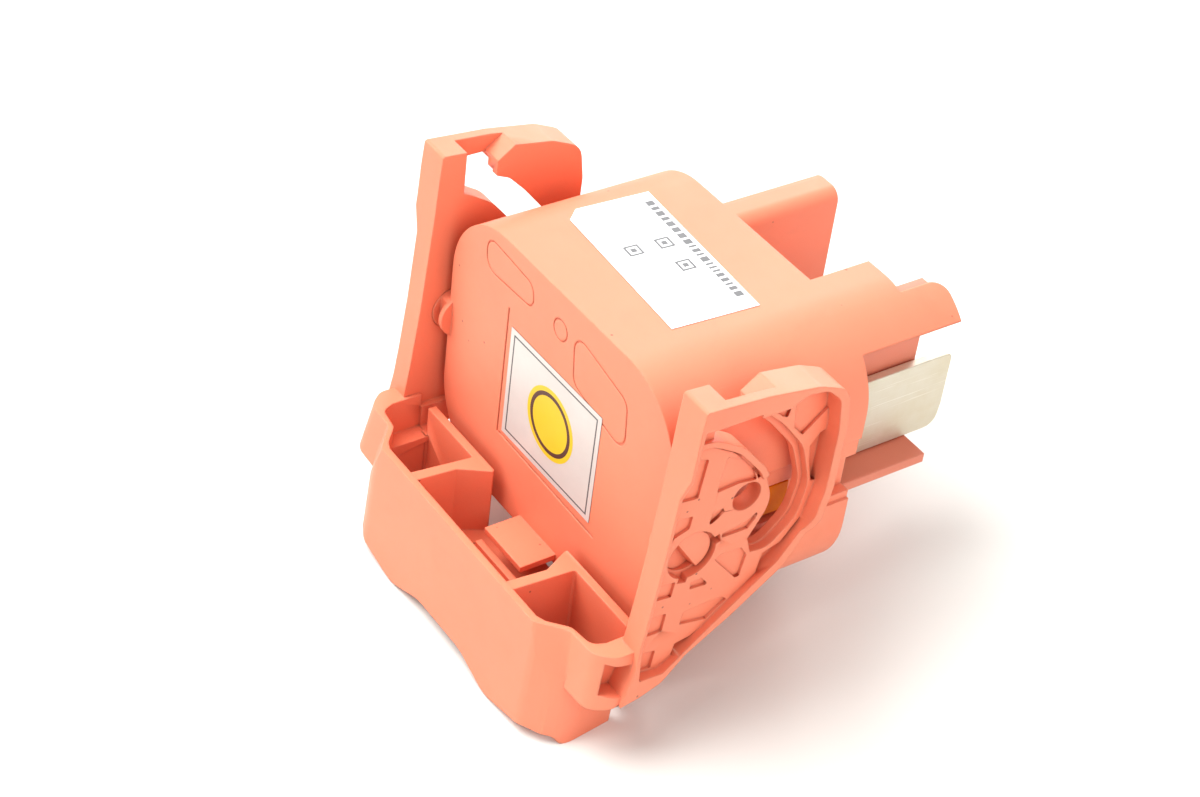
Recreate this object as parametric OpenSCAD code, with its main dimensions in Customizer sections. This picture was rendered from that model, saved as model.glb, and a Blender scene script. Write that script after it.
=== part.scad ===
// High-voltage disconnect fuse plug: a fuse in a moulded plug housing with a cam lever.
// Own frame: +X to the right arm, +Y the way the plug goes in, +Z up.
// Origin: on the plug axis, in the plane of the housing's rear rim.
// The modules below are drawn from the front face (y = 0) and the top face (z = 0)
// of the housing, and own() moves them to the origin.

/* [Housing] */
// Width of the housing
shell_w = 66; // [65:0.5:67]
// Height of the housing
shell_h = 53.6; // [53:0.2:54.2]
// Depth of the housing, front face to rear rim
shell_d = 39.5; // [39:0.5:40.5]
// Corner radius of the housing, seen from the front
shell_r = 15; // [13:0.5:16]
// Wall thickness of the housing
wall = 2; // [1.6:0.1:2.2]
// Length of the long guards behind the rim
guard_len = 21.3; // [18:0.1:24]

/* [Lever] */
// Inner face of each arm, from the middle
arm_in = 35; // [34.5:0.1:35.5]
// Outer face of each arm, from the middle
arm_out = 41.1; // [40.6:0.1:41.6]
// Outer face of the arm's web, from the middle
web_out = 38.1; // [37.6:0.1:38.6]
// Pivot height below the top face
pivot_z = -26.2; // [-26.6:0.1:-25.8]
// Pivot distance behind the front face
pivot_y = 2.0; // [1.8:0.1:2.2]
// Radius of the pivot boss
boss_r = 4.14; // [4.10:0.01:4.16]
// Radius of the bore in the arm
bore_r = 4.2; // [4.19:0.01:4.22]
// Height of the crossbar's top edge
bar_top = -43.5; // [-44:0.1:-43]
// Wall thickness of the crossbar
bar_t = 1.3; // [1.2:0.1:1.7]

/* [Blades] */
// Thickness of a plug blade
blade_t = 1.6; // [1.5:0.1:1.7]
// Width of a plug blade
blade_w = 15.8; // [15:0.2:16.4]
// Length of a plug blade behind the rim
blade_len = 28.3; // [26:0.1:30]
// Inner face of each blade, from the middle
blade_x = 21.35; // [21.35:0.05:21.45]

/* [Fuse] */
// Outer radius of the ceramic tube
tube_r = 12; // [11:0.5:12.5]
// Wall of the ceramic tube
tube_wall = 2.6; // [2.2:0.1:3]
// Half length of the ceramic tube
tube_half = 16.4; // [16.2:0.1:16.6]
// Fuse axis behind the front face
fuse_y = 17.5; // [17:0.1:18]

/* [Hidden] */
$fn = 64;
in_w = shell_w - 2*wall;
in_h = shell_h - 2*wall;
in_r = shell_r - wall;
mid_z = -shell_h/2;

orange = [0.96, 0.46, 0.33];
nickel = [0.86, 0.82, 0.72];
steel = [0.62, 0.62, 0.60];

// ---- helpers ----------------------------------------------------------------
// moves a piece from the front/top datum to the part's own origin
module own() { translate([0, -shell_d, shell_h/2]) children(); }
// extrudes an (x, z) outline along Y between two depths
module xz(y0, y1) { translate([0, y1, 0]) rotate([90, 0, 0]) linear_extrude(y1 - y0) children(); }
// extrudes a (y, z) outline along X between two widths
module yz(x0, x1) { translate([x0, 0, 0]) rotate([90, 0, 90]) linear_extrude(x1 - x0) children(); }
// a box between two corners
module bx(a, b) { translate(a) cube([b[0]-a[0], b[1]-a[1], b[2]-a[2]]); }
// the same piece on both sides of the middle
module both() { children(); mirror([1, 0, 0]) children(); }
// the same piece turned half a turn about the plug axis
module turned() { translate([0, 0, 2*mid_z]) rotate([0, 180, 0]) children(); }
// round-cornered rectangle, exact arcs
module rrect(w, h, r) {
    square([w - 2*r, h], center = true);
    square([w, h - 2*r], center = true);
    for (sx = [-1, 1]) for (sy = [-1, 1]) translate([sx*(w/2 - r), sy*(h/2 - r)]) circle(r);
}
// unit vector
function un(v) = v / norm(v);
// one rounded corner: the arc's points at b, between a and c, with radius r
function corner(a, b, c, r, n) =
    let (u = un(a - b), v = un(c - b), ang = acos(max(-1, min(1, u*v))),
         d = min(r / tan(ang/2), 0.49*norm(a - b), 0.49*norm(c - b)), rr = d*tan(ang/2),
         m = b + un(u + v) * rr / sin(ang/2),
         p0 = b + u*d - m, p1 = b + v*d - m,
         a0 = atan2(p0[1], p0[0]), da = atan2(p0[0]*p1[1] - p0[1]*p1[0], p0*p1))
    [for (i = [0:n]) m + rr * [cos(a0 + da*i/n), sin(a0 + da*i/n)]];
// closed outline from [a, b, radius] rows
function rounded(p, n = 5) = let (k = len(p)) [for (i = [0:k-1])
    let (a = [p[(i+k-1)%k][0], p[(i+k-1)%k][1]], b = [p[i][0], p[i][1]], c = [p[(i+1)%k][0], p[(i+1)%k][1]])
    each (p[i][2] <= 0 ? [b] : corner(a, b, c, p[i][2], n))];
// open path from [a, b, radius] rows
function path_of(p, n = 5) = let (k = len(p)) [for (i = [0:k-1])
    each (i == 0 || i == k-1 || p[i][2] <= 0 ? [[p[i][0], p[i][1]]]
        : corner([p[i-1][0], p[i-1][1]], [p[i][0], p[i][1]], [p[i+1][0], p[i+1][1]], p[i][2], n))];
// direction of a path at point i, turned to the left
function side(p, i) = let (k = len(p),
    a = i == 0 ? p[0] : p[i-1], b = i == k-1 ? p[k-1] : p[i+1], d = un(b - a)) [-d[1], d[0]];
// closed band around an open path, from lo to hi on its left side
function band(p, lo, hi) = concat([for (i = [0:len(p)-1]) p[i] + hi*side(p, i)],
    [for (i = [len(p)-1:-1:0]) p[i] + lo*side(p, i)]);

// outline of a groove of half width w along an open path, with a round end
function capped(p, w, n = 8) = let (k = len(p) - 1, s = side(p, k), d = un(p[k] - p[k-1]))
    concat([for (i = [0:k]) p[i] + w*side(p, i)], [for (j = [1:n-1]) p[k] + w*(s*cos(180*j/n) + d*sin(180*j/n))],
    [for (i = [k:-1:0]) p[i] - w*side(p, i)]);

// ---- housing ------------------------------------------------------------------
module shell_outline(grow = 0) {
    translate([0, mid_z]) rrect(shell_w + 2*grow, shell_h + 2*grow, shell_r + grow);
}
module shell_bore(shrink = 0) {
    translate([0, mid_z]) rrect(in_w - 2*shrink, in_h - 2*shrink, in_r - shrink);
}
// thin moulded ridge or groove along a path in the (x, z) plane
module trace(p, w, y0, y1) { xz(y0, y1) polygon(band(p, -w/2, w/2)); }

// the hollow post that covers the interlock contacts
module post() {
    difference() {
        xz(31, shell_d + guard_len) polygon(rounded([[-12.3, 0, 2.4], [-5, 0, 2.4], [-5, -25, 1], [-12.3, -25, 1]]));
        bx([-10.9, shell_d + 4, -23.6], [-6.4, shell_d + guard_len + 1, -1.8]);
    }
}
// short flat guard at the top, with its stiffening web
module mid_guard() {
    xz(shell_d - 3, shell_d + 12.5) intersection() {
        shell_outline();
        union() {
            polygon([[13.9, 0], [22.5, 0], [22.5, -2.2], [13.9, -2.2]]);
            polygon([[13.9, 0], [16.0, 0], [16.0, -16], [13.9, -16]]);
        }
    }
}
// guard that carries on the housing's rounded corner above the blade
module corner_guard() {
    intersection() {
        xz(shell_d - 3, shell_d + guard_len) difference() {
            shell_outline();
            shell_bore(0.2);
        }
        union() {
            bx([22.5, shell_d - 3, -5.2], [30, shell_d + guard_len - 3, 0.1]);
            bx([25.5, shell_d - 3, -5.2], [30, shell_d + guard_len + 1, 0.1]);
            translate([25.5, shell_d + guard_len - 3, -5.2]) cylinder(r = 3, h = 6);
        }
    }
}
module shell_solid() {
    // cup with an open rear
    difference() {
        xz(0, shell_d) shell_outline();
        xz(wall + 0.2, shell_d + 1) shell_bore();
    }
    // thickened sides that the guide channels are sunk into
    both() intersection() {
        bx([27.8, 13.2, -34.6], [32.5, shell_d - 6.2, -20.4]);
        xz(0, shell_d) shell_outline();
    }
    both() intersection() {
        bx([28.4, shell_d - 6.5, -33.4], [32.5, shell_d, -21.7]);
        xz(0, shell_d) shell_outline();
    }
    // bosses for the carrier's screws
    for (x = [-9, 9]) translate([x, 0, -45]) rotate([-90, 0, 0]) cylinder(r = 3.4, h = 32.9);
    // ribs that stiffen the front wall inside
    for (x = [-9, 9]) bx([x - 0.8, wall, -51], [x + 0.8, 30, -46]);
    // pivot bosses for the lever
    both() translate([shell_w/2 - 1, pivot_y, pivot_z]) rotate([0, 90, 0]) cylinder(r = boss_r, h = 5.3);
    // collar at the root of each pivot boss
    both() translate([shell_w/2 - 1, pivot_y + 1.6, pivot_z]) rotate([0, 90, 0]) cylinder(r = 5.2, h = 1.6);
    // catch for the lever's latch, under the front face
    bx([-5.8, -7.2, -52.6], [5.8, 0.5, -51.4]);
    bx([-4.8, -6.4, -53.4], [4.8, -5.2, -51.4]);
    both() bx([2.4, -6.2, -53.4], [3.6, 0.5, -51.4]);
}
module housing_shell() color(orange) own() {
    difference() {
        union() {
            shell_solid();
            post();
            mid_guard();
            corner_guard();
            turned() { corner_guard(); mid_guard(); }
        }
        // guide channels in the sides, open at the rear
        both() bx([30.4, 16.6, -31.5], [34, shell_d + 1, -23.6]);
        both() bx([32.5, 12.6, -33.0], [34, shell_d + 1, -19.9]);
        // screw holes
        for (x = [-9, 9]) translate([x, 12, -45]) rotate([-90, 0, 0]) cylinder(r = 1.25, h = 30);
        // relief that slopes the front of each pivot boss
        both() translate([37.3, pivot_y - 2.0, pivot_z + 1.5]) rotate([35, 0, 0]) translate([0, -8, -8])
            rotate([0, 0, 14]) cube([6, 8, 16]);
        // each boss is cut back beside the housing
        both() bx([33.01, -8, pivot_z - 8], [34.9, -0.6, pivot_z + 8]);
        // moulded outlines on the front face
        trace(path_of([[-14.6, -38.9, 0], [15.2, -39.9, 0]]), 0.4, -1, 0.25);
        trace([[-15.1, -12.4], [-15.1, -39.2]], 0.4, -1, 0.25);
        xz(-1, 0.22) difference() {
            polygon(rounded([[-23.4, -2.4, 2.4], [-9.0, -3.6, 2.4], [-7.8, -8.4, 2.2], [-23.0, -9.1, 2.8]]));
            polygon(rounded([[-23.1, -2.7, 2.1], [-9.3, -3.9, 2.1], [-8.1, -8.1, 1.9], [-22.7, -8.8, 2.5]]));
        }
        translate([-0.3, 0, -7.0]) rotate([90, 0, 0]) translate([0, 0, -0.22]) difference() {
            cylinder(r = 2.1, h = 1); translate([0, 0, -0.5]) cylinder(r = 1.8, h = 2);
        }
        xz(-1, 0.22) difference() {
            polygon(rounded([[3.4, -4.4, 2.5], [19.5, -8.0, 2.5], [20.5, -18.2, 2.5], [4.6, -14.6, 2.5]]));
            polygon(rounded([[3.7, -4.7, 2.3], [19.2, -8.3, 2.3], [20.1, -17.8, 2.3], [4.9, -14.3, 2.3]]));
        }
        // seat of the interlock jumper, open to the post
        bx([-9.05, shell_d - 1.9, -19.6], [-8.25, shell_d + 5, -7.2]);
    }
}

// ---- inner carrier ------------------------------------------------------------
// insulating plates beside and under one blade
module blade_guard() {
    g = shell_d + guard_len;
    bx([18.5, 34.5, -36.6], [21.0, g, -3.2]);
    bx([18.5, 34.5, -36.6], [28.3, g, -34.7]);
    bx([18.5, 34.5, -6.4], [23.2, g - 6, -4.3]);
}
module blade_slot() {
    bx([blade_x - 0.05, 30, mid_z + 0.2 - blade_w/2], [blade_x + blade_t + 0.05, 40, mid_z + 0.4 + blade_w/2]);
}
module contact_carrier() color([0.93, 0.43, 0.31]) own() {
    difference() {
        union() {
            xz(33, 36.4) shell_bore(0.15);
            // side pockets clear the thickened walls
            blade_guard();
            turned() blade_guard();
            // cradle under the fuse
            for (x = [-11, 8]) difference() {
                bx([x, 3.4, -44.0], [x + 3, 33.5, -26.8]);
                translate([x - 1, fuse_y, mid_z]) rotate([0, 90, 0]) cylinder(r = tube_r + 0.05, h = 5);
            }
        }
        // clear the thickened side walls
        both() bx([27.6, 30, -34.9], [34, 40, -20.1]);
        // clear the root of the post
        bx([-12.5, 30, -25.2], [-4.8, 40, -1]);
        // slots for the blades
        blade_slot();
        turned() blade_slot();
        // holes for the carrier's screws
        for (x = [-9, 9]) translate([x, 30, -45]) rotate([-90, 0, 0]) cylinder(r = 1.6, h = 10);
        for (x = [-9, 9]) translate([x, 35.0, -45]) rotate([-90, 0, 0]) cylinder(r = 3.1, h = 10);
        // keep the cradle clear of the screw bosses
        for (x = [-9, 9]) translate([x, 0, -45]) rotate([-90, 0, 0]) cylinder(r = 3.6, h = 33);
    }
}
module carrier_screws() color(steel) own() for (x = [-9, 9]) translate([x, 0, -45]) difference() {
    union() {
        translate([0, 19, 0]) rotate([-90, 0, 0]) cylinder(r = 1.25, h = 14);
        translate([0, 32.9, 0]) rotate([-90, 0, 0]) cylinder(r = 1.5, h = 2.3);
        translate([0, 35.0, 0]) rotate([-90, 0, 0]) cylinder(r = 2.8, h = 1.6);
    }
    for (a = [0, 90]) rotate([0, a, 0]) translate([-1.7, 35.6, -0.35]) cube([3.4, 2, 0.7]);
}

// ---- blades -----------------------------------------------------------------------
module blade() {
    zc = mid_z + 0.3;
    yz(blade_x, blade_x + blade_t) difference() {
        polygon(rounded([[fuse_y - 8.5, zc + 7.9, 3], [fuse_y - 8.5, zc - 7.9, 3],
            [shell_d + blade_len - 0.6, zc - blade_w/2, 2.6], [shell_d + blade_len, zc - blade_w/2 + 4.5, 1],
            [shell_d + blade_len, zc + blade_w/2, 1.2]]));
        translate([fuse_y, mid_z]) circle(r = 2.6);
    }
}
module blade_right() color(nickel) own() blade();
module blade_left() color(nickel) own() turned() blade();

// ---- fuse -------------------------------------------------------------------------
module fuse_tube() color([0.93, 0.92, 0.88]) own()
    translate([-tube_half, fuse_y, mid_z]) rotate([0, 90, 0]) difference() {
        cylinder(r = tube_r, h = 2*tube_half);
        translate([0, 0, -1]) cylinder(r = tube_r - tube_wall, h = 2*tube_half + 2);
    }
module fuse_terminal(s) {
    difference() {
        union() {
            translate([s > 0 ? tube_half - 2 : -tube_half - 2, fuse_y, mid_z]) rotate([0, 90, 0]) cylinder(r = tube_r - tube_wall, h = 4);
            translate([s > 0 ? tube_half : -blade_x, fuse_y, mid_z]) rotate([0, 90, 0]) cylinder(r = tube_r - 0.4, h = blade_x - tube_half);
        }
        translate([s > 0 ? tube_half - 1.2 : -blade_x - 1, fuse_y, mid_z]) rotate([0, 90, 0]) cylinder(r = 2.5, h = blade_x - tube_half + 2.2);
    }
}
module fuse_terminal_right() color(nickel) own() fuse_terminal(1);
module fuse_terminal_left() color(nickel) own() fuse_terminal(-1);
// notched strip between the terminals
module fuse_element() color([0.88, 0.88, 0.90]) own()
    translate([-tube_half + 2, fuse_y + 0.15, mid_z]) rotate([90, 0, 0]) linear_extrude(0.3) difference() {
        translate([0, -5]) square([2*tube_half - 4, 10]);
        for (x = [3.6 : 4.2 : 25]) for (z = [-3, 0, 3]) translate([x + 1, z]) circle(r = 1.1);
        for (x = [3.6 : 4.2 : 25]) for (z = [-5, 5]) translate([x + 1, z]) circle(r = 1.2);
    }
module terminal_screw(s) {
    x0 = blade_x + blade_t;
    mirror([s > 0 ? 0 : 1, 0, 0]) translate([0, fuse_y, mid_z]) rotate([0, 90, 0]) difference() {
        union() {
            translate([0, 0, tube_half - 0.9]) cylinder(r = 2.5, h = x0 + 1.0 - tube_half + 0.9);
            translate([0, 0, x0 + 1.0]) cylinder(r = 4.2, h = 3.2);
        }
        translate([0, 0, x0 + 2.4]) cylinder(r = 2.3, h = 3, $fn = 6);
    }
}
module terminal_screw_right() color(steel) own() terminal_screw(1);
module terminal_screw_left() color(steel) own() terminal_screw(-1);
module lock_washer(s) {
    mirror([s > 0 ? 0 : 1, 0, 0]) translate([blade_x + blade_t, fuse_y, mid_z]) rotate([0, 90, 0]) difference() {
        cylinder(r = 4.4, h = 1.0);
        translate([0, 0, -1]) cylinder(r = 2.55, h = 3);
        translate([0, -0.25, -1]) cube([6, 0.5, 3]);
    }
}
module lock_washer_right() color(steel) own() lock_washer(1);
module lock_washer_left() color(steel) own() lock_washer(-1);

// U-shaped contact of the interlock, inside the post
module interlock_jumper() color(nickel) own() {
    y0 = shell_d - 1.9;
    bx([-9.05, y0, -19.6], [-8.25, y0 + 1.6, -7.2]);
    bx([-9.05, y0, -9.6], [-8.25, y0 + 17.5, -7.2]);
    bx([-9.05, y0, -19.6], [-8.25, y0 + 17.5, -17.2]);
}

// coloured insert in each guide channel
module guide_insert() bx([30.4, 19.6, -30.6], [31.9, 26.0, -24.6]);
module guide_insert_right() color([0.95, 0.66, 0.08]) own() guide_insert();
module guide_insert_left() color([0.95, 0.66, 0.08]) own() mirror([1, 0, 0]) guide_insert();

// ---- labels --------------------------------------------------------------------------
module front_label() color([0.95, 0.95, 0.94]) own() xz(-0.12, 0)
    translate([0, -26.6]) square([27.3, 22.5], center = true);
module top_label() color([0.97, 0.97, 0.97]) own() translate([-2.15, 20.1, 0]) rotate([0, 0, -3.6])
    linear_extrude(0.12) polygon([[-17.6, -6.0], [-15.2, -8.45], [17.6, -8.45], [17.6, 8.45], [-17.6, 8.45]]);

// ---- lever ---------------------------------------------------------------------------
// outline of one arm, (y, z)
arm_pts = rounded([[-2.3, 6.4, 0.5], [9.8, 5.4, 0], [20.0, 3.7, 5], [26.2, 1.0, 4], [27.3, -6.0, 6], [27.1, -19.5, 8], [25.5, -28.0, 6],
    [20.6, -35.3, 6], [11.4, -42.2, 0], [3.1, -47.6, 4], [-1.6, -51.2, 4], [-5.3, -52.05, 0], [-9.8, -52.9, 0], [-7.2, -46.0, 0],
    [-6.9, -43.5, 3], [-5.9, -36.0, 6], [-4.7, -25.0, 6], [-3.75, -13.0, 6], [-3.1, -5.0, 6], [-2.7, 2.0, 2]], 4);
// outline of the recess in its outer side
recess_pts = rounded([[-1.8, 2.5, 0.3], [8.8, 1.5, 0], [14.4, 1.4, 1.5], [17.6, 2.9, 2], [21.6, 2.3, 3], [24.8, -0.6, 3.5], [25.7, -7.5, 5], [25.5, -19.5, 8],
    [23.9, -27.4, 5], [19.4, -33.7, 5], [10.2, -40.8, 0], [2.0, -47.4, 2], [-1.4, -49.4, 2], [-6.5, -48.8, 0.5], [-6.3, -43.4, 3],
    [-5.4, -36.0, 6], [-4.2, -25.0, 6], [-3.25, -13.0, 6], [-2.6, -5.0, 6]], 4);
// inner edge of the cam slot, from the mouth to the closed end
slot_in = path_of([[2.4, -2.3, 0], [4.2, -3.2, 2], [8.4, -5.8, 8], [14.0, -12.2, 9], [16.9, -20.6, 6], [13.2, -27.2, 0]], 8);
// the lip beside it starts at the front rail
lip_path = concat([[-1.9, -1.7]], [for (i = [0:len(slot_in) - 11]) slot_in[i]]);
// outer edge of its narrow inner step and of its wide outer step, back to the mouth
slot_low = path_of([[14.3, -30.4, 0], [17.4, -30.9, 4], [22.2, -26.4, 6], [23.5, -19.8, 8], [20.8, -11.8, 10], [15.2, -5.2, 8], [11.6, -1.6, 3], [8.9, -0.4, 0]], 8);
slot_top = path_of([[14.3, -30.6, 0], [17.8, -31.1, 4], [22.8, -26.6, 6], [24.2, -19.6, 8], [21.6, -11.0, 10], [16.4, -4.6, 6], [12.8, -1.2, 2], [8.9, 0.1, 0]], 8);
mouth = [[8.9, 2.2], [2.4, 2.2]];
// shallow pockets in the web, (y, z)
pockets = [
    [[-2.9, -5.0], [2.2, -6.4], [1.3, -14.0], [-3.6, -13.4]],
    [[6.0, -7.3], [9.4, -9.2], [11.9, -12.2], [13.0, -14.6], [9.5, -14.0], [5.0, -14.3]],
    [[4.8, -18.6], [6.9, -18.2], [7.4, -19.1], [6.2, -20.0], [4.5, -21.0]],
    [[-3.9, -17.0], [0.9, -17.5], [0.6, -20.0], [-2.3, -21.0], [-3.0, -23.0], [-4.2, -23.0]],
    [[7.6, -23.8], [10.2, -23.5], [13.0, -22.8], [14.6, -21.6], [14.2, -23.2], [12.8, -24.9], [7.7, -24.8]],
    [[6.9, -29.2], [8.4, -28.5], [12.3, -28.8], [13.7, -30.9], [12.9, -35.2], [12.0, -35.2]],
    [[2.7, -33.9], [2.7, -32.5], [4.8, -32.2], [6.6, -34.3]],
    [[-5.4, -33.4], [-5.0, -30.2], [-0.5, -30.9], [-0.9, -34.0]],
    [[1.8, -41.3], [2.3, -38.8], [6.6, -38.5], [10.1, -38.7], [11.2, -39.6], [7.3, -42.4]],
    [[-6.0, -41.1], [-5.6, -36.9], [-1.3, -37.4], [-1.7, -41.2]],
    [[-6.6, -48.4], [-6.3, -44.4], [-2.4, -45.2], [-2.9, -48.9]],
    [[14.3, -1.4], [17.4, -1.2], [16.9, -3.5], [16.0, -3.0]],
    [[18.8, -6.2], [20.8, -8.4], [26.0, -3.9], [25.6, -1.6], [22.6, 1.2], [18.2, 0.4]]];
// deeper steps where the web falls away to the rim
steps = [
    [[24.6, -19.4], [23.4, -14.8], [23.0, -11.4], [24.6, -9.3], [27.0, -8.6], [27.0, -19.4]],
    [[16.6, -34.4], [17.1, -32.0], [20.6, -30.9], [24.0, -26.7], [24.8, -27.6], [20.2, -33.9], [16.4, -36.4]],
    [[1.0, -47.6], [1.5, -45.4], [4.6, -45.0], [7.8, -43.1], [8.2, -44.0], [2.0, -48.9]]];

module arm() {
    difference() {
        union() {
            difference() {
                yz(arm_in, arm_out) polygon(arm_pts);
                yz(web_out, arm_out + 1) polygon(recess_pts);
            }
            // lip beside the slot's inner edge
            yz(web_out - 1, web_out + 0.9) polygon(band(lip_path, -1.1, 0));
        }
        // the slot, stepped wider towards the outside
        yz(arm_in - 1, web_out + 1) polygon(concat(slot_in, slot_low, mouth));
        yz(arm_in + 1.5, arm_out + 1) polygon(concat(slot_in, slot_top, mouth));
        // groove behind the lip
        yz(web_out - 0.6, web_out + 0.01) polygon(band(lip_path, -1.6, -1.1));
        // its mouth, open at the top behind the outer bar
        yz(arm_in - 1, arm_out - 1.9) polygon([[2.4, 1], [8.9, 1], [8.9, 2.6], [13.0, 5.6], [12.0, 9], [2.4, 9]]);
        // round hole in the web
        yz(arm_in - 1, arm_out + 1) translate([11.4, -17.5]) circle(r = 2.8);
        // pivot bore, its wider mouth and the two notches
        translate([arm_in - 1, pivot_y, pivot_z]) rotate([0, 90, 0]) cylinder(r = bore_r, h = 4);
        translate([arm_in + 1.5, pivot_y, pivot_z]) rotate([0, 90, 0]) cylinder(r = bore_r + 0.5, h = 6);
        for (a = [17, 257]) translate([arm_in + 1.5, pivot_y, pivot_z]) rotate([a, 0, 0]) translate([0, 2, -0.9]) cube([5, 3.6, 1.8]);
        // pockets and steps in the web
        yz(web_out - 0.55, web_out + 0.5) intersection() {
            polygon(recess_pts);
            union() for (p = pockets) polygon(rounded([for (q = p) [q[0], q[1], 0.3]], 2));
        }
        yz(web_out - 1.2, web_out + 0.5) intersection() {
            polygon(recess_pts);
            union() for (p = steps) polygon(rounded([for (q = p) [q[0], q[1], 0.3]], 2));
        }
        // the outer side is set back along the front rail and the lower rim
        translate([0, -4, -6]) rotate([-33.3, 0, 0]) xz(-40, 70)
            polygon([[arm_out + 0.2, 0.4], [39.6, -4.0], [39.4, -31], [40.4, -40], [40.4, -70], [46, -70], [46, 0.4]]);
    }
}

// walls of the crossbar that follow one (x, y) path
skin_path = path_of([[-32.6, -3.6, 0], [-32.6, -12.4, 5], [-29.6, -15.5, 5], [-25.9, -17.5, 5], [25.9, -17.5, 5],
    [29.6, -15.5, 5], [32.6, -12.4, 5], [32.6, -3.6, 0]], 6);
// a point of an outline at one height, before the outline is tilted by rotate([-8, b, 0])
function lean(p, b) = let (x = p[0]*cos(b)) [x, (p[1] + tan(-8)*tan(b)*x)*cos(8)];
flare_path = path_of([[21.6, -17.0, 0], [25.2, -17.0, 1], [29.2, -14.0, 4], [36.4, -13.7, 4], [38.9, -10.6, 3], [38.9, -6.4, 0]], 6);
flare_solid = [for (p = concat(flare_path, [[36, -6.4], [36, -3.0], [22, -3.0]])) lean(p, -9)];
// what is cut away in front of the flare, (x, y) at the top edge
swing_cut = [for (p = rounded([[18, -17.7, 0], [24.3, -17.7, 3], [29.6, -13.0, 4.5], [48, -13.0, 0], [48, -32, 0], [18, -32, 0]], 6)) lean(p, -12)];
// full corner of the skin behind that cut
corner_fill = concat([for (p = skin_path) if (p[0] > 21) p], [[31, -3.6], [31, -11.0], [22, -11.0]]);
// inner side of the flare at its top edge
flare_in = path_of([[23.0, -16.5, 0], [25.4, -15.6, 2], [28.6, -12.6, 2.5], [33.4, -12.0, 2], [34.3, -9.6, 1], [34.3, -2, 0]], 4);

module swing() {
    intersection() {
        translate([0, 0, bar_top]) rotate([-8, -12, 0]) translate([0, 0, -40]) linear_extrude(70) polygon(swing_cut);
        bx([20, -34, -53.9], [48, -8, -36]);
    }
}
module skirt() {
    // the skirt leans forward a little, and its lower edge is arched in the middle
    intersection() {
        difference() {
            translate([0, 0, bar_top]) rotate([-4.6, 0, 0]) translate([0, 0, -28]) linear_extrude(34) polygon(band(skin_path, 0, bar_t));
            both() swing();
        }
        union() {
            xz(-30, 5) polygon(rounded([[-31.4, bar_top, 0], [31.4, bar_top, 0], [34, -50, 0], [34, -66.8, 0], [32.1, -66.8, 1], [31.2, -65.2, 1], [27, -65.0, 5], [15.5, -67.2, 8],
                [7, -64.2, 10], [-7, -64.2, 10], [-15.5, -67.2, 8], [-27, -65.0, 5], [-31.2, -65.2, 1], [-32.1, -66.8, 1], [-34, -66.8, 0], [-34, -50, 0]], 6));
        }
        // rounded lower rear corners
        yz(-36, 36) polygon(rounded([[-30, -40, 0], [-3, -40, 0], [-3, -60, 0], [-3.9, -62, 0], [-3.9, -67.4, 3], [-30, -67.4, 0]], 6));
        // the sides stay low behind the flare
        union() {
            bx([-30, -30, -70], [30, 0, bar_top]);
            bx([-36, -30, -70], [36, 0, -51.4]);
        }
    }
}
// corner where the skin swings out to the arm, with a pocket inside and a window outside
module flare() {
    difference() {
        intersection() {
            union() {
                translate([0, 0, -47.85]) rotate([-8, -9, 0]) translate([0, 0, -30]) linear_extrude(60) polygon(flare_solid);
                difference() {
                    translate([0, 0, bar_top]) rotate([-4.6, 0, 0]) translate([0, 0, -16]) linear_extrude(22) polygon(corner_fill);
                    swing();
                }
            }
            yz(23.2, 41.1) polygon([[-24, bar_top], [-3.6, bar_top], [-3.6, -51.7], [-24, -55.7]]);
        }
        translate([0, 0, -50.6]) linear_extrude(20) polygon(concat(flare_in, [[22, -2], [22, -16.5]]));
        translate([0, 0, -60]) linear_extrude(20) polygon(concat([for (p = flare_in) if (p[0] < 30.8) p], [[30.8, -12.2], [30.8, -2], [22, -2], [22, -16.5]]));
        translate([35.6, -10.1, -48.2]) rotate([-11, 0, 0]) translate([0, -2.2, -3.0]) cube([8, 4.4, 6.0]);
    }
}
// rear wall of one pocket and the rib that ties it to the skirt
pocket_wall = rounded([[11.3, -2.1, 0.4], [31.6, -2.1, 0], [31.6, -3.7, 0], [16.4, -3.7, 0.5], [16.6, -17.0, 0], [14.4, -17.0, 0], [14.5, -8.2, 0.4]], 3);

module crossbar() {
    skirt();
    both() {
        flare();
        // lower end of the side wall joins the shelf
        bx([31.3, -12.0, -60], [32.6, -3.6, -51.4]);
        intersection() {
            translate([0, 0, -61]) linear_extrude(20) polygon(pocket_wall);
            yz(5, 33) polygon([[-17.0, bar_top], [-3.0, -44.8], [-1, -44.8], [-1, -61], [-18, -61]]);
        }
        bx([31.0, -4.2, -60], [32.6, -2.1, -50.4]);
        bx([31.0, -3.7, -51.8], [35.4, -2.1, -50.4]);
        // web that closes the corner to the arm
        bx([33.8, -3.7, -51.0], [35.2, 3.6, -46.0]);
        // arms of the latch bridge
        bx([4.2, -17.4, -63.2], [5.8, -7.6, -58]);
    }
    // latch tongue in front of the housing's catch
    bx([-5.8, -8.9, -63.2], [5.8, -7.6, -53.9]);
    bx([-5.8, -10.2, -58.8], [5.8, -8.6, -55.0]);
    // floor of the latch bridge, carried back under the catch
    bx([-14.6, -17.2, -59.6], [14.6, -2.4, -58.4]);
    bx([-4, -2.6, -59.6], [4, 2.0, -58.4]);
    bx([-16.0, -17.4, -63.2], [16.0, -16.0, -58]);
}
module lever() color(orange) own() {
    both() arm();
    crossbar();
}

housing_shell();
contact_carrier();
carrier_screws();
blade_right();
blade_left();
fuse_tube();
fuse_terminal_right();
fuse_terminal_left();
fuse_element();
terminal_screw_right();
terminal_screw_left();
lock_washer_right();
lock_washer_left();
interlock_jumper();
guide_insert_right();
guide_insert_left();
front_label();
top_label();
lever();
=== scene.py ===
import math
import random

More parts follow.
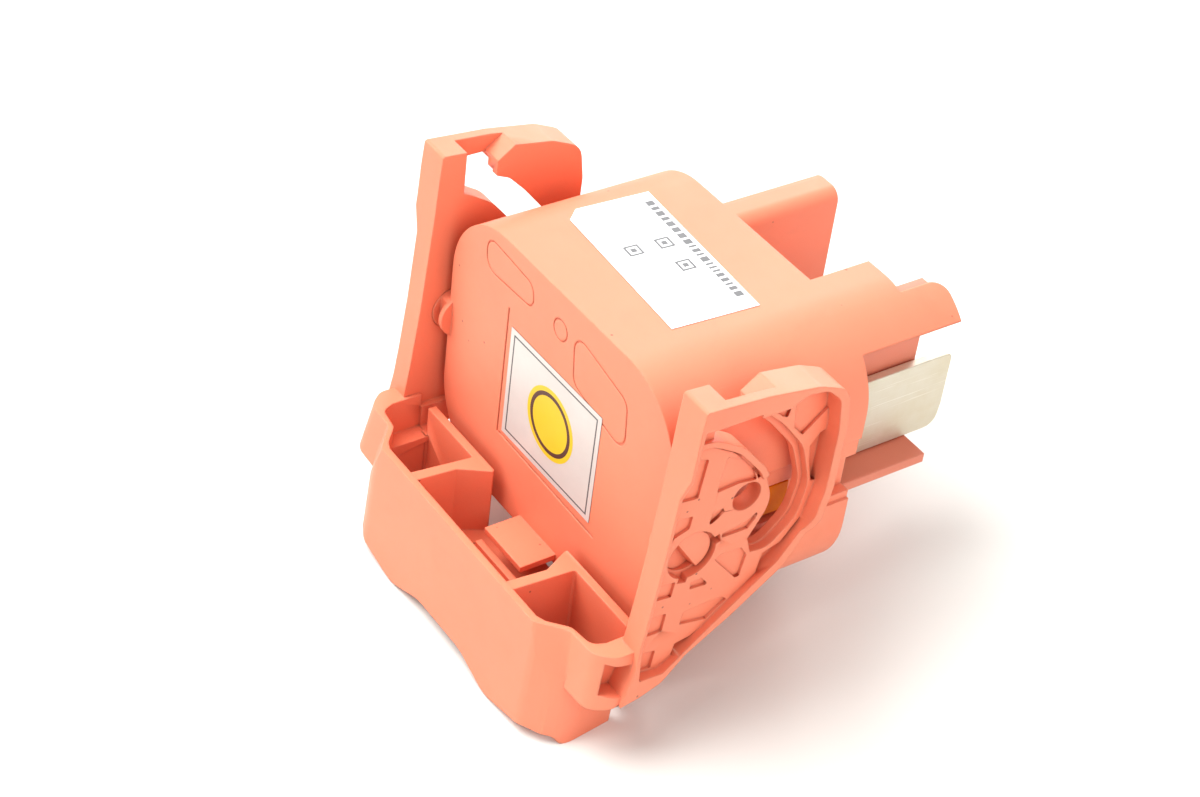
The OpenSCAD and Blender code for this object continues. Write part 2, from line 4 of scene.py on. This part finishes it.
import bmesh
import bpy
from mathutils import Matrix, Vector


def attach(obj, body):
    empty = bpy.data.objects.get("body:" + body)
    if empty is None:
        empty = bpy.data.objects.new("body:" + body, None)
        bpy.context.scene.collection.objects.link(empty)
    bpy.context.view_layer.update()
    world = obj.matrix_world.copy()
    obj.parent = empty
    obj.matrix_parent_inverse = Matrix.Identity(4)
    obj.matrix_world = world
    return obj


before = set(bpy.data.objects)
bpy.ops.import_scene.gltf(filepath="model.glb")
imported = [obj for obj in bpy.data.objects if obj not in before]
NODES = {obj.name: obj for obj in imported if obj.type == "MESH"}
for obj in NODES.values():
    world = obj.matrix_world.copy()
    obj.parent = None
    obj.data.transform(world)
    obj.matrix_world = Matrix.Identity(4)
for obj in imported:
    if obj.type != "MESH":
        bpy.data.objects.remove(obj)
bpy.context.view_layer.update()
MM = 0.001
# drawing datum (front face, top face) to the row frame
DY, DZ = -39.5, 26.8

scene = bpy.context.scene
scene.view_settings.view_transform = "Standard"
scene.view_settings.look = "None"
scene.view_settings.exposure = 0.0
scene.view_settings.gamma = 1.0


# ---- camera -----------------------------------------------------------------
def make_camera():
    data = bpy.data.cameras.new("view")
    data.lens = 73.29
    data.sensor_width = 36.0
    data.clip_start, data.clip_end = 0.01, 20.0
    cam = bpy.data.objects.new("view", data)
    scene.collection.objects.link(cam)
    right = Vector((0.555, 0.825, 0.104)).normalized()
    back = Vector((0.614, -0.491, 0.618))
    back = (back - right * back.dot(right)).normalized()
    up = back.cross(right)
    m = Matrix((right, up, back)).transposed().to_4x4()
    m.translation = Vector((0.2535, -0.2324, 0.2574))
    cam.matrix_world = m
    scene.camera = cam


make_camera()


# ---- node helpers -----------------------------------------------------------
class Tree:
    def __init__(self, name):
        self.mat = bpy.data.materials.new(name)
        self.mat.use_nodes = True
        self.nt = self.mat.node_tree
        self.nt.nodes.clear()
        self.out = self.nt.nodes.new("ShaderNodeOutputMaterial")
        self.bsdf = self.nt.nodes.new("ShaderNodeBsdfPrincipled")
        self.link(self.bsdf.outputs[0], self.out.inputs["Surface"])
        self.coord = self.nt.nodes.new("ShaderNodeTexCoord").outputs["Object"]

    def link(self, a, b):
        self.nt.links.new(a, b)

    def _in(self, node, key, value):
        s = node.inputs[key]
        if isinstance(value, bpy.types.NodeSocket):
            self.link(value, s)
        else:
            s.default_value = value

    def noise(self, scale, detail=3.0, rough=0.55, vector=None, dist=0.0, offset=None):
        n = self.nt.nodes.new("ShaderNodeTexNoise")
        v = vector if vector is not None else self.coord
        if offset is not None:
            v = self.vmath("ADD", v, offset)
        self.link(v, n.inputs["Vector"])
        n.inputs["Scale"].default_value = scale
        n.inputs["Detail"].default_value = detail
        n.inputs["Roughness"].default_value = rough
        n.inputs["Distortion"].default_value = dist
        return n.outputs[0]

    def vmath(self, op, a, b):
        n = self.nt.nodes.new("ShaderNodeVectorMath")
        n.operation = op
        self._in(n, 0, a)
        self._in(n, 1, b)
        return n.outputs[0]

    def math(self, op, a, b=0.0, clamp=False):
        n = self.nt.nodes.new("ShaderNodeMath")
        n.operation = op
        n.use_clamp = clamp
        self._in(n, 0, a)
        self._in(n, 1, b)
        return n.outputs[0]

    def ramp(self, value, stops, interp="LINEAR"):
        n = self.nt.nodes.new("ShaderNodeValToRGB")
        n.color_ramp.interpolation = interp
        e = n.color_ramp.elements
        while len(e) > 1:
            e.remove(e[-1])
        e[0].position, c0 = stops[0][0], stops[0][1]
        e[0].color = c0 if isinstance(c0, tuple) else (c0, c0, c0, 1)
        for p, c in stops[1:]:
            x = e.new(p)
            x.color = c if isinstance(c, tuple) else (c, c, c, 1)
        self.link(value, n.inputs[0])
        return n.outputs[0]

    def mix(self, factor, a, b, mode="MIX"):
        n = self.nt.nodes.new("ShaderNodeMix")
        n.data_type = "RGBA"
        n.blend_type = mode
        self._in(n, 0, factor)
        self._in(n, 6, a)
        self._in(n, 7, b)
        return n.outputs[2]

    def voronoi(self, scale, feature="F1", rand=1.0, vector=None):
        n = self.nt.nodes.new("ShaderNodeTexVoronoi")
        n.feature = feature
        self.link(vector if vector is not None else self.coord, n.inputs["Vector"])
        n.inputs["Scale"].default_value = scale
        n.inputs["Randomness"].default_value = rand
        return n

    def scaled(self, xyz, vector=None):
        n = self.nt.nodes.new("ShaderNodeMapping")
        self.link(vector if vector is not None else self.coord, n.inputs["Vector"])
        n.inputs["Scale"].default_value = xyz
        return n.outputs[0]

    def separate(self, vector=None):
        n = self.nt.nodes.new("ShaderNodeSeparateXYZ")
        self.link(vector if vector is not None else self.coord, n.inputs[0])
        return n.outputs

    def edge(self, radius, samples=4):
        """1 on convex or concave edges, 0 on flats."""
        b = self.nt.nodes.new("ShaderNodeBevel")
        b.samples = samples
        b.inputs["Radius"].default_value = radius
        g = self.nt.nodes.new("ShaderNodeNewGeometry")
        d = self.nt.nodes.new("ShaderNodeVectorMath")
        d.operation = "DOT_PRODUCT"
        self.link(b.outputs[0], d.inputs[0])
        self.link(g.outputs["Normal"], d.inputs[1])
        return self.math("SUBTRACT", 1.0, d.outputs["Value"]), b.outputs[0]

    def ao(self, distance, inside=False, samples=8):
        n = self.nt.nodes.new("ShaderNodeAmbientOcclusion")
        n.inside = inside
        n.samples = samples
        n.inputs["Distance"].default_value = distance
        return n.outputs["AO"]

    def bump(self, height, strength, distance, normal=None):
        n = self.nt.nodes.new("ShaderNodeBump")
        n.inputs["Strength"].default_value = strength
        n.inputs["Distance"].default_value = distance
        self.link(height, n.inputs["Height"])
        if normal is not None:
            self.link(normal, n.inputs["Normal"])
        return n.outputs[0]

    def set(self, **kw):
        for k, v in kw.items():
            self._in(self.bsdf, k.replace("_", " ").title() if k not in ALIAS else ALIAS[k], v)
        return self


ALIAS = {"color": "Base Color", "metallic": "Metallic", "roughness": "Roughness", "normal": "Normal", "ior": "IOR",
         "sss": "Subsurface Weight", "sss_radius": "Subsurface Radius", "sss_scale": "Subsurface Scale",
         "coat": "Coat Weight", "coat_rough": "Coat Roughness", "aniso": "Anisotropic", "specular": "Specular IOR Level",
         "sheen": "Sheen Weight"}


# dirt scales the grime and painted corner shade, the specks and the smudges
def orange_plastic(name, base, seed, dirt=1.0):
    t = Tree(name)
    # slow colour drift of a filled nylon moulding, with faint flow marks
    drift = t.noise(38.0, 3, 0.5, offset=(seed, 0.3 * seed, 0.1))
    col = t.mix(t.ramp(drift, [(0.3, 0.0), (0.7, 1.0)]), tuple(c * 0.955 for c in base) + (1,), tuple(min(1, c * 1.03) for c in base) + (1,))
    # painted highlight: paler rims where light catches the rounded edges, broken up by noise (the same pale colour
    # also tints the real scratches below)
    edge, soft = t.edge(0.00045)
    edge_sheen = t.math("MULTIPLY", t.ramp(edge, [(0.015, 0.0), (0.16, 1.0)]), t.ramp(t.noise(170.0, 4, 0.6, offset=(0, seed, 0)), [(0.34, 0.25), (0.62, 1.0)]))
    pale_sheen_and_scratch = (min(1, base[0] * 1.04), base[1] * 1.36, base[2] * 1.5, 1)
    col = t.mix(t.math("MULTIPLY", edge_sheen, 0.55), col, pale_sheen_and_scratch)
    # painted shade: a deeper, redder tone inside the pockets and channels, from a 16 mm AO mask
    recess_shade = t.ramp(t.ao(0.016, samples=12), [(0.25, 1.0), (0.68, 0.0)])
    col = t.mix(t.math("MULTIPLY", recess_shade, 0.75), col, (base[0] * 0.72, base[1] * 0.50, base[2] * 0.40, 1))
    # painted shade with grime: near-black colour in tight corners and creases, from a 1.6 mm AO mask broken up by
    # patchy noise
    ao = t.ao(0.0016)
    crease_shade = t.ramp(ao, [(0.25, 1.0), (0.62, 0.0)])
    patchy = t.ramp(t.noise(260.0, 5, 0.65, offset=(0.1, 0, seed)), [(0.42, 0.0), (0.66, 1.0)])
    grime_and_shade = t.math("MULTIPLY", crease_shade, patchy)
    col = t.mix(t.math("MULTIPLY", grime_and_shade, 0.55 * dirt), col, (0.22, 0.065, 0.035, 1))
    # small dark specks, a few to a square centimetre
    v = t.voronoi(420.0)
    near = t.ramp(v.outputs["Distance"], [(0.06, 1.0), (0.12, 0.0)])
    some = t.ramp(t.separate(v.outputs["Color"])[0], [(0.958, 0.0), (0.962, 1.0)])
    col = t.mix(t.math("MULTIPLY", t.math("MULTIPLY", near, some), 0.75 * dirt), col, (0.20, 0.07, 0.04, 1))
    # faint smudges
    smudge = t.ramp(t.noise(75.0, 6, 0.7, dist=0.6, offset=(seed, seed, 0)), [(0.56, 0.0), (0.78, 1.0)])
    col = t.mix(t.math("MULTIPLY", smudge, 0.16 * dirt), col, (0.45, 0.16, 0.09, 1))
    # fine scratches: stretched noise in two directions
    s1 = t.ramp(t.noise(1.0, 2, 0.5, vector=t.scaled((90, 90, 2600))), [(0.70, 0.0), (0.74, 1.0)])
    s2 = t.ramp(t.noise(1.0, 2, 0.5, vector=t.scaled((2600, 80, 120))), [(0.71, 0.0), (0.75, 1.0)])
    scr = t.math("MULTIPLY", t.math("ADD", s1, s2, True), t.ramp(t.noise(60.0, 2), [(0.5, 0.0), (0.7, 1.0)]))
    col = t.mix(t.math("MULTIPLY", scr, 0.18), col, pale_sheen_and_scratch)
    grain = t.noise(3800.0, 2, 0.6)
    orange_peel = t.noise(420.0, 2, 0.5)
    h = t.math("ADD", t.math("MULTIPLY", grain, 0.5), t.math("MULTIPLY", orange_peel, 0.8))
    h = t.math("SUBTRACT", h, t.math("MULTIPLY", scr, 0.5))
    rough = t.math("ADD", t.math("MULTIPLY", t.noise(210.0, 4, 0.6), 0.16), 0.40)
    rough = t.math("ADD", rough, t.math("MULTIPLY", grime_and_shade, 0.2))
    t.set(color=col, roughness=rough, normal=t.bump(h, 0.22, 0.00006, soft), sss=0.12, sss_radius=(1.0, 0.32, 0.16),
          sss_scale=0.0016, ior=1.46, specular=0.42)
    return t.mat


def metal_plated(name, base, scratches=1.0, rough0=0.45):
    """Plated copper, with scratches along the plug-in direction."""
    t = Tree(name)
    tarnish = t.noise(120.0, 5, 0.6)
    col = t.mix(t.ramp(tarnish, [(0.35, 0.0), (0.7, 1.0)]), base + (1,), tuple(c * k for c, k in zip(base, (0.93, 0.89, 0.80))) + (1,))
    line = t.noise(1.0, 3, 0.6, vector=t.scaled((2600, 55, 2600)))
    line2 = t.noise(1.0, 2, 0.5, vector=t.scaled((900, 30, 900)))
    cut = t.ramp(line, [(0.60, 0.0), (0.70, 1.0)])
    bright = t.ramp(line2, [(0.52, 0.0), (0.72, 1.0)])
    col = t.mix(t.math("MULTIPLY", cut, 0.35 * scratches), col, (1.0, 0.98, 0.93, 1))
    col = t.mix(t.math("MULTIPLY", t.math("MULTIPLY", bright, t.ramp(t.noise(70.0), [(0.45, 0.0), (0.65, 1.0)])), 0.35 * scratches), col, (0.62, 0.50, 0.33, 1))
    rough = t.math("ADD", t.math("MULTIPLY", line, 0.22), rough0 - 0.03)
    _, soft = t.edge(0.0002)
    h = t.math("ADD", t.math("MULTIPLY", line, -0.8), t.math("MULTIPLY", t.noise(900.0, 3), 0.5))
    t.set(color=col, metallic=0.72, roughness=rough, normal=t.bump(h, 0.35, 0.00005, soft))
    return t.mat


def steel_zinc(name):
    t = Tree(name)
    col = t.mix(t.ramp(t.noise(300.0, 4), [(0.35, 0.0), (0.7, 1.0)]), (0.60, 0.61, 0.60, 1), (0.72, 0.70, 0.62, 1))
    ring = t.noise(1.0, 2, vector=t.scaled((1600, 1600, 300)))
    t.set(color=col, metallic=0.95, roughness=t.math("ADD", t.math("MULTIPLY", ring, 0.2), 0.25),
          normal=t.bump(ring, 0.3, 0.00004, t.edge(0.00015)[1]))
    return t.mat


def ceramic(name):
    t = Tree(name)
    col = t.mix(t.ramp(t.noise(60.0, 4), [(0.3, 0.0), (0.7, 1.0)]), (0.86, 0.85, 0.81, 1), (0.80, 0.79, 0.74, 1))
    t.set(color=col, roughness=t.math("ADD", t.math("MULTIPLY", t.noise(500.0, 3), 0.2), 0.3), sss=0.1,
          sss_radius=(1.0, 0.9, 0.8), sss_scale=0.001, normal=t.bump(t.noise(1500.0, 3), 0.15, 0.00004))
    return t.mat


def amber(name):
    t = Tree(name)
    col = t.mix(t.ramp(t.noise(150.0, 3), [(0.3, 0.0), (0.7, 1.0)]), (0.66, 0.13, 0.001, 1), (0.72, 0.17, 0.003, 1))
    t.set(color=col, roughness=t.math("ADD", t.math("MULTIPLY", t.noise(400.0, 3), 0.15), 0.45), specular=0.12, sss=0.15,
          sss_radius=(1.0, 0.5, 0.1), sss_scale=0.001, normal=t.bump(t.noise(900.0, 2), 0.15, 0.00004))
    return t.mat


def film(name, base, grey=0.04, rough0=0.4, gloss=0.3):
    """Printed film: faint waviness and a little dirt."""
    t = Tree(name)
    a = t.noise(120.0, 5, 0.65)
    col = t.mix(t.ramp(a, [(0.35, 0.0), (0.75, 1.0)]), base + (1,), tuple(c * (1 - grey) for c in base) + (1,))
    v = t.voronoi(700.0)
    near = t.ramp(v.outputs["Distance"], [(0.06, 1.0), (0.14, 0.0)])
    some = t.ramp(t.separate(v.outputs["Color"])[0], [(0.975, 0.0), (0.98, 1.0)])
    col = t.mix(t.math("MULTIPLY", t.math("MULTIPLY", near, some), 0.5), col, (0.35, 0.30, 0.27, 1))
    t.set(color=col, roughness=t.math("ADD", t.math("MULTIPLY", t.noise(300.0, 3), 0.12), rough0),
          normal=t.bump(t.noise(260.0, 2), 0.18, 0.00005), coat=gloss, coat_rough=0.2)
    return t.mat


M = {
    "housing": orange_plastic("housing_plastic", (0.90, 0.255, 0.145), 1.7),
    # the carrier takes a darker copy of the orange plastic: painted shade for its recessed, shaded plates
    "carrier": orange_plastic("carrier_plastic", (0.74, 0.225, 0.140), 4.1, 0.7),
    "lever": orange_plastic("lever_plastic", (0.905, 0.250, 0.140), 7.3),
    "plated": metal_plated("plated_copper", (0.72, 0.67, 0.56)),
    "silver": metal_plated("fuse_silver", (0.90, 0.90, 0.91), scratches=0.4, rough0=0.25),
    "steel": steel_zinc("zinc_steel"),
    "ceramic": ceramic("fired_ceramic"),
    "amber": amber("amber_plastic"),
    "film": film("label_film", (0.68, 0.63, 0.585), 0.07, 0.36, 0.5),
    "paper": film("label_paper", (0.93, 0.93, 0.93), 0.03, 0.5, 0.1),
    "ink": film("ink_dark", (0.10, 0.10, 0.105), 0.2, 0.45, 0.2),
    "ink_grey": film("ink_grey", (0.16, 0.16, 0.165), 0.2, 0.5, 0.1),
    "yellow": film("ink_yellow", (0.80, 0.56, 0.015), 0.08, 0.4, 0.3),
    "brown": film("ink_brown", (0.075, 0.028, 0.02), 0.2, 0.42, 0.3),
}
USE = {
    "housing_shell": "housing", "contact_carrier": "carrier", "lever": "lever", "carrier_screws": "steel",
    "blade_right": "plated", "blade_left": "plated", "fuse_tube": "ceramic", "fuse_terminal_right": "plated",
    "fuse_terminal_left": "plated", "fuse_element": "silver", "terminal_screw_right": "steel", "terminal_screw_left": "steel",
    "lock_washer_right": "steel", "lock_washer_left": "steel", "interlock_jumper": "plated",
    "guide_insert_right": "amber", "guide_insert_left": "amber", "front_label": "film", "top_label": "paper",
}


# ---- edges of the carried-over pieces ---------------------------------------------
def soften(o, width, segments=2, weld=0.00002, angle=32, flat=True):
    me = o.data
    if me.has_custom_normals:
        with bpy.context.temp_override(object=o, active_object=o, selected_objects=[o], selected_editable_objects=[o]):
            bpy.ops.mesh.customdata_custom_splitnormals_clear()
    for a in ("sharp_edge", "sharp_face"):
        if a in me.attributes:
            me.attributes.remove(me.attributes[a])
    w = o.modifiers.new("weld", "WELD")
    w.merge_threshold = weld
    if flat:
        d = o.modifiers.new("flat", "DECIMATE")
        d.decimate_type = "DISSOLVE"
        d.angle_limit = math.radians(0.6)
    if width > 0:
        b = o.modifiers.new("edges", "BEVEL")
        b.limit_method = "ANGLE"
        b.angle_limit = math.radians(angle)
        b.width = width
        b.segments = segments
        b.use_clamp_overlap = True
        b.harden_normals = False
        b.miter_outer = "MITER_ARC"
    n = o.modifiers.new("shade", "WEIGHTED_NORMAL")
    n.keep_sharp = True
    n.weight = 60


WIDTHS = {"housing_shell": 0.00022, "lever": 0.00018, "contact_carrier": 0.0002, "blade_right": 0.00018, "blade_left": 0.00018,
          "front_label": 0.0, "top_label": 0.0, "fuse_tube": 0.0004, "interlock_jumper": 0.0001}
for name, o in NODES.items():
    for i in range(max(1, len(o.data.materials))):
        if len(o.data.materials) == 0:
            o.data.materials.append(M[USE[name]])
        else:
            o.data.materials[i] = M[USE[name]]
    # the carrier keeps its triangles: its rear face, joined into one, would split wrongly
    soften(o, WIDTHS.get(name, 0.00015), flat=name != "contact_carrier")


# ---- print on the labels ------------------------------------------------------------
def prism(name, loops, place, thick, mat, body):
    """Thin raised print from flat outlines: each entry is [outer, hole, ...] in label millimetres."""
    bm = bmesh.new()
    for rings in loops:
        outer, holes = rings[0], rings[1:]
        if not holes:
            vs = [bm.verts.new(place(x, y, 0)) for x, y in outer]
            top = [bm.verts.new(place(x, y, thick)) for x, y in outer]
            bm.faces.new(top)
            bm.faces.new(list(reversed(vs)))
            for i in range(len(outer)):
                j = (i + 1) % len(outer)
                bm.faces.new((vs[i], vs[j], top[j], top[i]))
        else:
            hole = holes[0]
            k = len(outer)
            a0 = [bm.verts.new(place(x, y, 0)) for x, y in outer]
            a1 = [bm.verts.new(place(x, y, thick)) for x, y in outer]
            b0 = [bm.verts.new(place(x, y, 0)) for x, y in hole]
            b1 = [bm.verts.new(place(x, y, thick)) for x, y in hole]
            for i in range(k):
                j = (i + 1) % k
                bm.faces.new((a0[i], a0[j], a1[j], a1[i]))
                bm.faces.new((b0[j], b0[i], b1[i], b1[j]))
                bm.faces.new((a1[i], a1[j], b1[j], b1[i]))
                bm.faces.new((a0[j], a0[i], b0[i], b0[j]))
    bmesh.ops.recalc_face_normals(bm, faces=bm.faces)
    me = bpy.data.meshes.new(name)
    bm.to_mesh(me)
    bm.free()
    me.materials.append(mat)
    o = bpy.data.objects.new(name, me)
    scene.collection.objects.link(o)
    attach(o, body)
    return o


def rect(cx, cy, w, h):
    return [(cx - w / 2, cy - h / 2), (cx + w / 2, cy - h / 2), (cx + w / 2, cy + h / 2), (cx - w / 2, cy + h / 2)]


def disc(cx, cy, r, n=64):
    return [(cx + r * math.cos(2 * math.pi * i / n), cy + r * math.sin(2 * math.pi * i / n)) for i in range(n)]


def front(x, z, out):
    """Front label: x to the right, z up, out of the housing."""
    return Vector((x * MM, (-0.12 - out + DY) * MM, (-26.6 + z + DZ) * MM))


prism("front_print_frame", [[rect(0, 0, 25.3, 20.5), rect(0, 0, 24.7, 19.9)]], front, 0.02, M["ink"], "housing")
prism("front_print_disc", [[disc(0, 0, 6.9), disc(0, 0, 0.02)]], front, 0.02, M["yellow"], "housing")
prism("front_print_ring", [[disc(0, 0, 6.0), disc(0, 0, 5.2)]], front, 0.035, M["brown"], "housing")

A = math.radians(-3.6)


def top(x, y, out):
    """Top label: x to the right, y to the rear, out of the housing."""
    return Vector(((-2.15 + x * math.cos(A) - y * math.sin(A)) * MM, (20.1 + x * math.sin(A) + y * math.cos(A) + DY) * MM,
                   (0.12 + out + DZ) * MM))


marks = []
for i, (cx, cy) in enumerate([(-3.4, 3.0), (3.4, 3.0), (-3.4, -3.0)]):
    marks.append([rect(cx, cy, 2.8, 2.8), rect(cx, cy, 2.0, 2.0)])
    marks.append([rect(cx, cy, 1.0, 1.0)])
prism("top_print_squares", marks, top, 0.02, M["ink_grey"], "housing")
rng = random.Random(5)
dashes, x = [], -15.0
while x < 14.4:
    w = rng.choice((0.5, 0.9, 1.3))
    dashes.append([rect(x + w / 2, 6.9, w, 1.5)])
    x += w + 0.55
prism("top_print_dashes", dashes, top, 0.02, M["ink_grey"], "housing")


# ---- floor and light ----------------------------------------------------------------
def make_floor():
    """A wide pale table that the plug leans on: lower edge of the crossbar and the rear bottom guards."""
    a = Vector((0, -58.5, -40.4)) * MM
    b = Vector((0, 21.3, -26.8)) * MM
    along = (b - a).normalized()
    x = Vector((1, 0, 0))
    n = x.cross(along).normalized()
    m = Matrix((x, along, n)).transposed().to_4x4()
    m.translation = (a + b) / 2 - n * 0.0002
    bm = bmesh.new()
    bmesh.ops.create_grid(bm, x_segments=2, y_segments=2, size=4.0)
    me = bpy.data.meshes.new("table")
    bm.to_mesh(me)
    bm.free()
    o = bpy.data.objects.new("table", me)
    scene.collection.objects.link(o)
    o.matrix_world = m
    t = Tree("table_white")
    col = t.mix(t.ramp(t.noise(9.0, 4), [(0.3, 0.0), (0.7, 1.0)]), (0.745, 0.745, 0.705, 1), (0.725, 0.725, 0.685, 1))
    t.set(color=col, roughness=0.6)
    me.materials.append(t.mat)
    return n


UP = make_floor()

world = bpy.data.worlds.new("studio")
scene.world = world
world.use_nodes = True
bg = world.node_tree.nodes["Background"]
bg.inputs[0].default_value = (1.0, 1.0, 1.0, 1)
bg.inputs[1].default_value = 0.72


def area(name, where, target, size, power, color=(1, 1, 1)):
    d = bpy.data.lights.new(name, "AREA")
    d.shape = "RECTANGLE"
    d.size, d.size_y = size
    d.energy = power
    d.color = color
    o = bpy.data.objects.new(name, d)
    scene.collection.objects.link(o)
    o.location = where
    o.rotation_mode = "QUATERNION"
    o.rotation_quaternion = (Vector(target) - Vector(where)).to_track_quat("-Z", "Y")
    return o


area("key", (-0.34, -0.42, 0.86), (0, 0, 0), (0.75, 0.75), 15.0)
area("back", (-0.62, 0.78, 0.42), (0, 0, 0), (0.6, 0.4), 5.5)
area("fill", (0.78, -0.20, 0.55), (0, 0, 0), (0.6, 0.5), 2.6)
